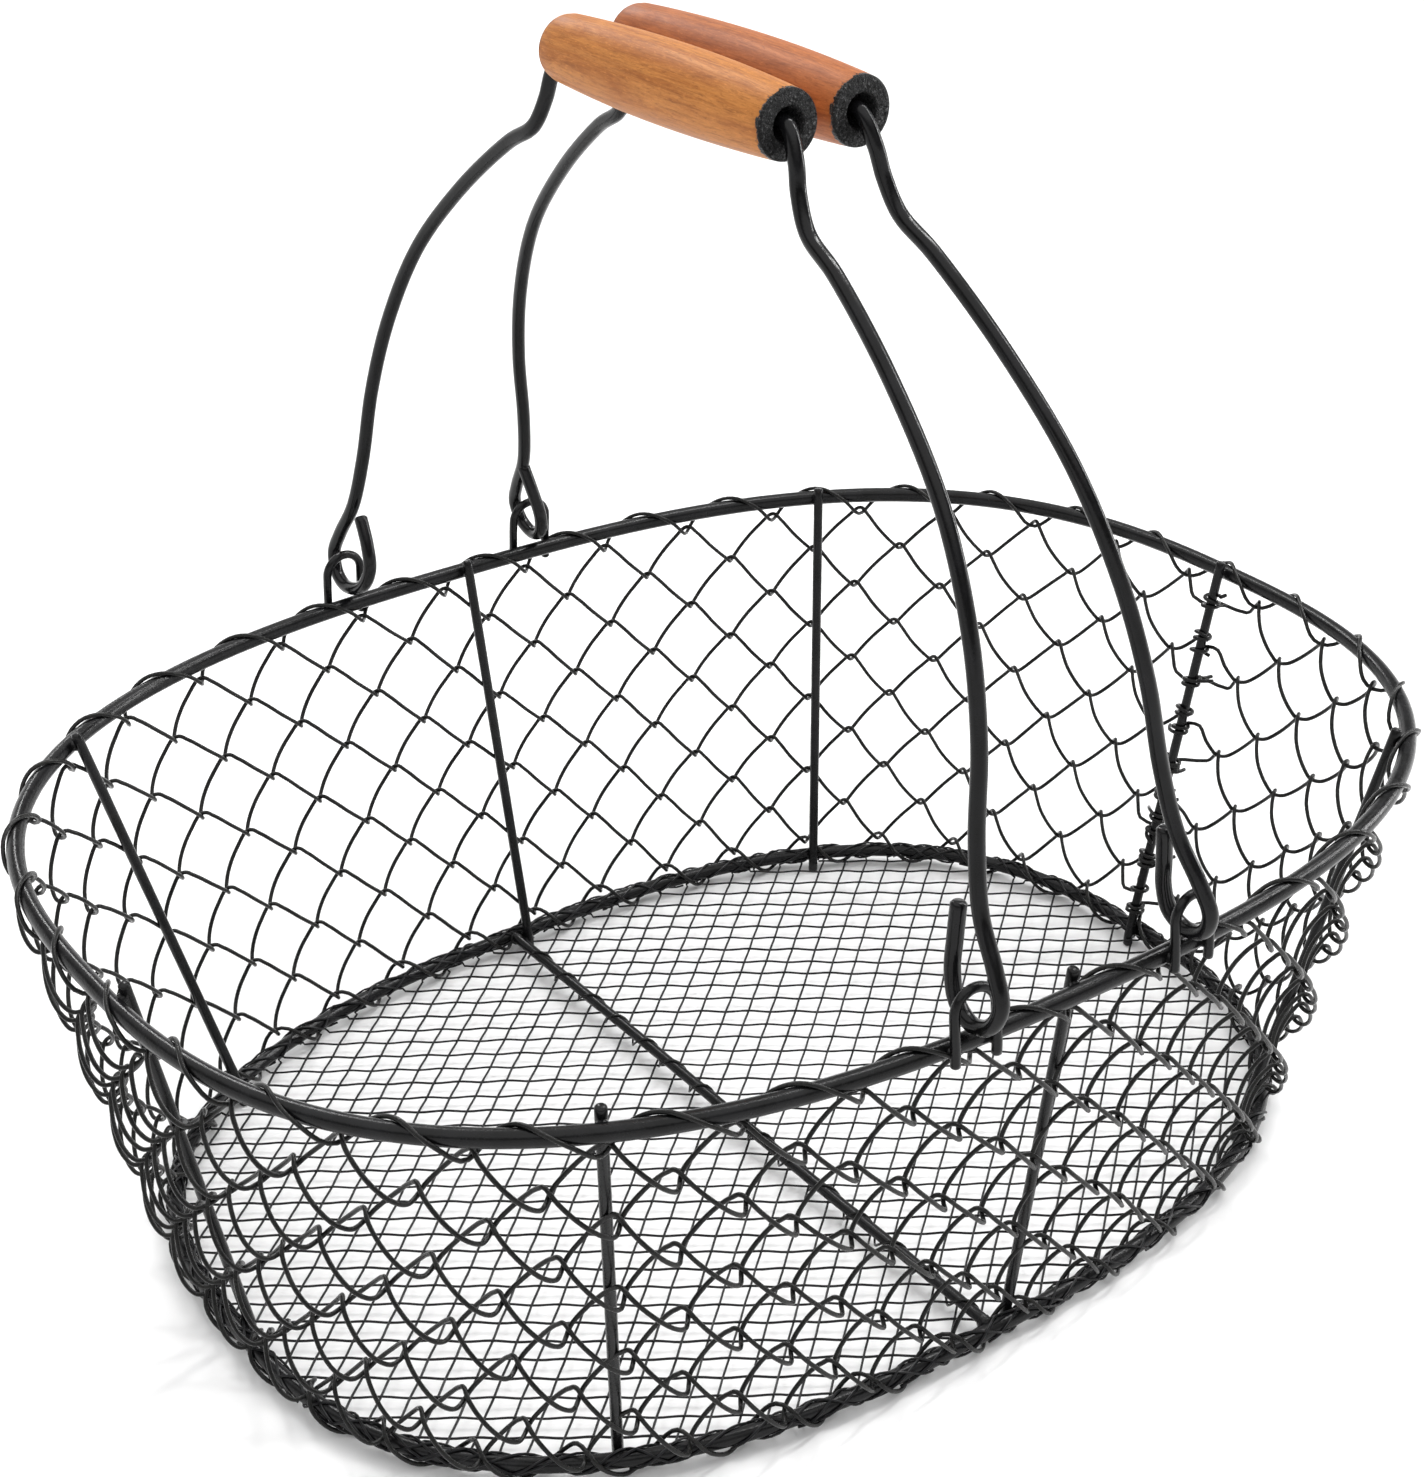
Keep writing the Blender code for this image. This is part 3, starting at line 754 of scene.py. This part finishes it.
def floor_wire(number, first):
    """One wire of the floor, woven over and under the other set, wrapped at both ends."""
    own, other = (along_a, along_b) if first else (along_b, along_a)
    place = number + chance.uniform(-FLOOR_DRIFT, FLOOR_DRIFT)
    cells = np.arange(-REACH * FLOOR_STEPS, REACH * FLOOR_STEPS + 1) / FLOOR_STEPS
    flat = floor_warp(own * cells[:, None] * CELL + other * place * CELL)
    wave = np.cos(math.pi * (cells + number)) * FLOOR_WAVE * (1.0 if first else -1.0)
    kept = inside_base(flat, FLOOR_EDGE)
    if kept.sum() < 2 * FLOOR_STEPS:
        return None
    line = np.column_stack([flat, FLOOR_Z + wave])[kept]
    heading = np.append(own, 0.0)
    start = wrap_round_base(line[0], -heading)
    finish = wrap_round_base(line[-1], heading)
    return tube(np.vstack([start[::-1], line, finish]), FLOOR_RADIUS, sides=6)


def woven_floor():
    """Both sets of floor wires as one piece of hardware cloth."""
    wires = [floor_wire(number, first) for first in (True, False) for number in range(-REACH, REACH + 1)]
    shells = [wire for wire in wires if wire]
    piece("floor_weave", shells, FLOOR_PAINT, "basket", ["floor_mesh"])


TIE_TURNS = 15
TIE_STEPS = 16                # points to a turn
TIE_INSET = 4.0 * MM          # from each end of the bar


def bar_tie():
    """A thin wire wound round the cross bar and the cloth under it."""
    count = TIE_TURNS * TIE_STEPS
    share = np.arange(count + 1) / count
    angle = 2.0 * math.pi * TIE_TURNS * share + 0.25 * np.sin(share * 57.0)
    y = (share * 2.0 - 1.0) * (BAR_HALF - TIE_INSET)
    wide = BAR_RADIUS + TIE_RADIUS
    middle = (BAR.z + wide + FLOOR_Z - 2 * FLOOR_RADIUS - TIE_RADIUS) / 2
    tall = BAR.z + wide - middle
    route = np.stack([BAR.x + wide * np.cos(angle), y, middle + tall * np.sin(angle)], -1)
    piece("bar_tie", [tube(route, TIE_RADIUS, sides=6)], NET_PAINT, "basket")


woven_floor()
bar_tie()

# ---- eyes: staples on the rim's outer side -------------------------------------------------------------
EYE_HALF_WIDTH = 5.2 * MM
EYE_TOP = 14.0 * MM
EYE_STUB = {"front": (2.4 * MM, 2.9 * MM), "back": (2.2 * MM, 4.4 * MM)}   # the -X leg and the +X leg
EYE_FOOT_OUT = 3.4 * MM       # legs outside the rim centre line
EYE_CROWN_OUT = 2.0 * MM
EYE_ARC_STEPS = 14
EYE_LEG_RISES = (-1.0 * MM, 2.5 * MM)   # points that keep the legs straight


def rim_y(x):
    """Half width of the rim centre line at x."""
    return RIM_HALF[1] * (1.0 - abs(x / RIM_HALF[0]) ** OVAL_POWER) ** (1.0 / OVAL_POWER)


def eye(hand, side, place_name):
    """A staple with both legs welded to the outer side of the rim, leaning in to its crown."""
    x = HINGE[hand].x
    half = EYE_HALF_WIDTH
    crown = EYE_TOP - half

    def place(offset, rise):
        share = min(1.0, max(0.0, rise) / EYE_TOP)
        out = EYE_FOOT_OUT + (EYE_CROWN_OUT - EYE_FOOT_OUT) * share
        return np.array([x + offset, side * (rim_y(x + offset) + out), RIM_Z + rise])

    left_stub, right_stub = EYE_STUB[place_name]
    route = [place(-half, rise) for rise in (-left_stub, *EYE_LEG_RISES)]
    for i in range(EYE_ARC_STEPS + 1):
        angle = math.pi * (1 - i / EYE_ARC_STEPS)
        route.append(place(half * math.cos(angle), crown + half * math.sin(angle)))
    route += [place(half, rise) for rise in (*EYE_LEG_RISES[::-1], -right_stub)]
    shells = [tube(smooth_route(route, 2), EYE_RADIUS, sides=12)]
    for offset in (-half, half):
        rim_point = np.array([x + offset, side * rim_y(x + offset), RIM_Z])
        shells.append(weld(place(offset, 0.0), rim_point, EYE_WELD))
    piece(f"staple_{hand}_{place_name}", shells, FRAME_PAINT, "basket",
          [f"eye_{hand}_{place_name}"])


for hand in HANDS:
    eye(hand, 1, "back")
    eye(hand, -1, "front")

# ---- bails and grips --------------------------------------------------------------------------------
LEAN = {"left": math.radians(7.0), "right": math.radians(-7.7)}
GRIP_RISE = (GRIP_AXIS["left"] - HINGE["left"]).length / MM
# Half of a bail from above the hook to the middle of the grip: (across, up the bail) in mm
BAIL_ARM = [(137.0, 7.5), (134.0, 14.0), (127.6, 24.0), (123.4, 38.5), (120.2, 58.0), (113.5, 78.2),
            (100.8, 100.3), (81.6, 120.0), (61.2, 135.7), (51.2, 141.5), (47.0, 148.5), (45.0, 154.8),
            (40.8, GRIP_RISE), (35.0, GRIP_RISE), (18.0, GRIP_RISE)]
# Hooks from the cut tail to the outer bend; the back ones were closed with a tool and lean over
HOOK_BEND = [(129.8, 0.0), (135.0, 2.2)]
HOOK_TAIL = {
    ("left", "front"): [(121.0, 23.4), (121.4, 16.0), (122.0, 8.6), (124.6, 2.6)],
    ("right", "front"): [(124.0, 23.0), (123.6, 15.0), (123.2, 8.0), (124.9, 2.2)],
    ("left", "back"): [(123.2, 21.8), (119.2, 15.4), (117.4, 9.6), (120.6, 3.4)],
    ("right", "back"): [(128.4, 21.4), (125.4, 14.0), (123.6, 7.6), (125.2, 2.2)],
}


def bail_half(tail, side):
    """One half of the bail in its own plane, from the tail to inside the grip."""
    points = [(0.0, side * across * MM, up * MM) for across, up in tail + HOOK_BEND + BAIL_ARM]
    return smooth_route(points, 7)


def bail(hand):
    """A swinging wire handle, hooked at both ends and straight through its grip."""
    front = bail_half(HOOK_TAIL[hand, "front"], -1)
    back = bail_half(HOOK_TAIL[hand, "back"], 1)
    route = np.vstack([front, back[::-1]])
    tilt = Matrix.Rotation(LEAN[hand], 3, "Y")
    placed = route @ np.array(tilt).T + np.array(HINGE[hand])
    steps = np.linspace(0.0, 1.0, len(route))
    swell = 1.0 + 0.006 * np.sin(steps * 90.0) + 0.004 * np.sin(steps * 37.0)
    piece(f"handle_{hand}", [tube(placed, BAIL_RADIUS * swell, sides=20)], BAIL_PAINT, f"{hand}_bail",
          [f"bail_{hand}"])


GRIP_MIDDLE_RADIUS = 8.95 * MM
GRIP_END_RADIUS = 7.5 * MM
GRIP_SIDES = 96
FRONT_EDGE = 0.5 * MM         # radius of the crisp edge at the front face
BACK_EDGE = 2.6 * MM          # radius of the soft edge at the back face
BORE_CHAMFER = 0.3 * MM
FACE_ROUGHNESS = 0.10 * MM    # unevenness of the sawn front face


def grip_profile():
    """The turned outline as (radius, along the grip), from the front bore edge round to the back one."""
    half = GRIP_HALF
    profile = []
    face_radii = np.linspace(GRIP_BORE_RADIUS + BORE_CHAMFER, GRIP_END_RADIUS - FRONT_EDGE, 7)
    profile += [(GRIP_BORE_RADIUS, -half + BORE_CHAMFER)]
    profile += [(radius, -half) for radius in face_radii]
    for i in range(1, 5):
        angle = math.radians(90.0 * i / 4)
        profile.append((GRIP_END_RADIUS - FRONT_EDGE + FRONT_EDGE * math.sin(angle),
                        -half + FRONT_EDGE - FRONT_EDGE * math.cos(angle)))
    for share in np.linspace(-1.0, 1.0, 25)[1:-1]:
        along = share * half
        swell = (GRIP_MIDDLE_RADIUS - GRIP_END_RADIUS) * (1.0 - share * share)
        if half - along > BACK_EDGE:
            profile.append((GRIP_END_RADIUS + swell, along))
    for i in range(0, 7):
        angle = math.radians(90.0 * i / 6)
        profile.append((GRIP_END_RADIUS - BACK_EDGE + BACK_EDGE * math.cos(angle),
                        half - BACK_EDGE + BACK_EDGE * math.sin(angle)))
    profile += [(GRIP_BORE_RADIUS + BORE_CHAMFER, half), (GRIP_BORE_RADIUS, half - BORE_CHAMFER)]
    return profile


def grip(hand):
    """A turned barrel grip, bored through, free to spin on its bail."""
    profile = grip_profile()
    count = len(profile)
    angle = 2.0 * math.pi * np.arange(GRIP_SIDES) / GRIP_SIDES
    rings = []
    for radius, along in profile:
        on_face = along < -GRIP_HALF + 0.01 * MM
        rough = FACE_ROUGHNESS if on_face else 0.0
        uneven = radius * (1.0 + 0.004 * np.sin(3.0 * angle + along * 90.0))
        depth = along + rough * np.array([chance.uniform(-1.0, 1.0) for _ in angle])
        rings.append(np.stack([uneven * np.cos(angle), depth, uneven * np.sin(angle)], -1))
    points = np.array(rings).reshape(-1, 3) + np.array(GRIP_AXIS[hand])
    i = np.arange(count)[:, None]
    j = np.arange(GRIP_SIDES)[None, :]
    i_next, j_next = (i + 1) % count, (j + 1) % GRIP_SIDES
    quads = np.stack([i * GRIP_SIDES + j, i_next * GRIP_SIDES + j, i_next * GRIP_SIDES + j_next,
                      i * GRIP_SIDES + j_next], -1).reshape(-1, 4)
    piece(f"wood_grip_{hand}", [(points, quads, [])], GRIP_FINISH[hand], f"{hand}_grip",
          [f"grip_{hand}"], origin=GRIP_AXIS[hand], sharp=60.0)


for hand in HANDS:
    bail(hand)
    grip(hand)


# ---- floor, light and camera ---------------------------------------------------------------------------
STUDIO_HALF = 60.0            # half width of the studio floor, metres


def studio_floor():
    """A plain pale floor, which reaches to the horizon."""
    nodes = Nodes("studio_floor_finish")
    tint = nodes.ramp(nodes.noise(3.0, detail=2.0), (0.3, (0.90, 0.90, 0.90)), (0.7, (0.93, 0.93, 0.93)))
    nodes.join(tint, nodes.shader, "Base Color")
    nodes.shader.inputs["Roughness"].default_value = 0.8
    nodes.shader.inputs["Specular IOR Level"].default_value = 0.1
    mesh = bpy.data.meshes.new("studio_floor")
    corners = [(x * STUDIO_HALF, y * STUDIO_HALF, 0.0) for x, y in ((-1, -1), (1, -1), (1, 1), (-1, 1))]
    mesh.from_pydata(corners, [], [(0, 1, 2, 3)])
    mesh.materials.append(nodes.material)
    floor = bpy.data.objects.new("studio_floor", mesh)
    bpy.context.scene.collection.objects.link(floor)


def area_light(name, place, target, size, power):
    """A soft rectangular light aimed at a point."""
    light = bpy.data.lights.new(name, "AREA")
    light.shape = "RECTANGLE"
    light.size, light.size_y = size
    light.energy = power
    made = bpy.data.objects.new(name, light)
    made.location = place
    made.rotation_euler = (Vector(target) - Vector(place)).to_track_quat("-Z", "Y").to_euler()
    bpy.context.scene.collection.objects.link(made)


WORLD_STRENGTH = 1.4
# Greys of the surroundings by the sine of the elevation: pale horizon, dim walls, white ceiling
WORLD_GREYS = [(0.0, 0.80), (0.24, 0.80), (0.34, 0.12), (0.48, 0.12), (0.70, 1.0)]


def studio_light():
    """A bright ceiling over dimmer walls, with strip lights above, to the right and behind."""
    world = bpy.data.worlds.new("studio_world")
    world.use_nodes = True
    tree = world.node_tree
    background = tree.nodes["Background"]
    direction = tree.nodes.new("ShaderNodeTexCoord")
    split = tree.nodes.new("ShaderNodeSeparateXYZ")
    ceiling = tree.nodes.new("ShaderNodeValToRGB")
    stops = ceiling.color_ramp.elements
    while len(stops) < len(WORLD_GREYS):
        stops.new(0.5)
    for stop, (height, grey) in zip(stops, WORLD_GREYS):
        stop.position = height
        stop.color = (grey, grey, grey, 1.0)
    tree.links.new(direction.outputs["Generated"], split.inputs["Vector"])
    tree.links.new(split.outputs["Z"], ceiling.inputs["Fac"])
    tree.links.new(ceiling.outputs["Color"], background.inputs["Color"])
    background.inputs["Strength"].default_value = WORLD_STRENGTH
    bpy.context.scene.world = world
    middle = (0.0, 0.0, 0.1)
    area_light("top_strip", (0.80, 0.10, 1.40), middle, (0.12, 0.80), 7.5)
    area_light("right_strip", (1.25, -0.35, 0.75), middle, (0.08, 1.2), 9.0)
    area_light("back_strip", (0.25, 1.25, 1.20), middle, (0.12, 0.80), 7.0)
    bpy.context.scene.view_settings.view_transform = "Standard"


CAMERA_AZIMUTH = -0.6209      # radians, 0 looks along +Y
CAMERA_ELEVATION = 0.4951
CAMERA_ROLL = -0.0086
CAMERA_DISTANCE = 0.8569
CAMERA_TARGET = Vector((0.1093, 0.1623, 0.0088))
CAMERA_LENS = 63.35           # millimetres on a 36 mm sensor


def camera():
    """The camera, looking down over the front left of the basket."""
    azimuth, elevation, roll = CAMERA_AZIMUTH, CAMERA_ELEVATION, CAMERA_ROLL
    back = Vector((math.sin(azimuth) * math.cos(elevation), -math.cos(azimuth) * math.cos(elevation),
                   math.sin(elevation)))
    right = Vector((math.cos(azimuth), math.sin(azimuth), 0.0))
    up = back.cross(right)
    rolled_right = right * math.cos(roll) + up * math.sin(roll)
    rolled_up = up * math.cos(roll) - right * math.sin(roll)
    data = bpy.data.cameras.new("camera")
    data.sensor_width = 36.0
    data.lens = CAMERA_LENS
    data.clip_start, data.clip_end = 0.01, 200.0
    made = bpy.data.objects.new("camera", data)
    turn = Matrix((rolled_right, rolled_up, back)).transposed().to_4x4()
    made.matrix_world = Matrix.Translation(CAMERA_TARGET + back * CAMERA_DISTANCE) @ turn
    bpy.context.scene.collection.objects.link(made)
    bpy.context.scene.camera = made


studio_floor()
studio_light()
camera()
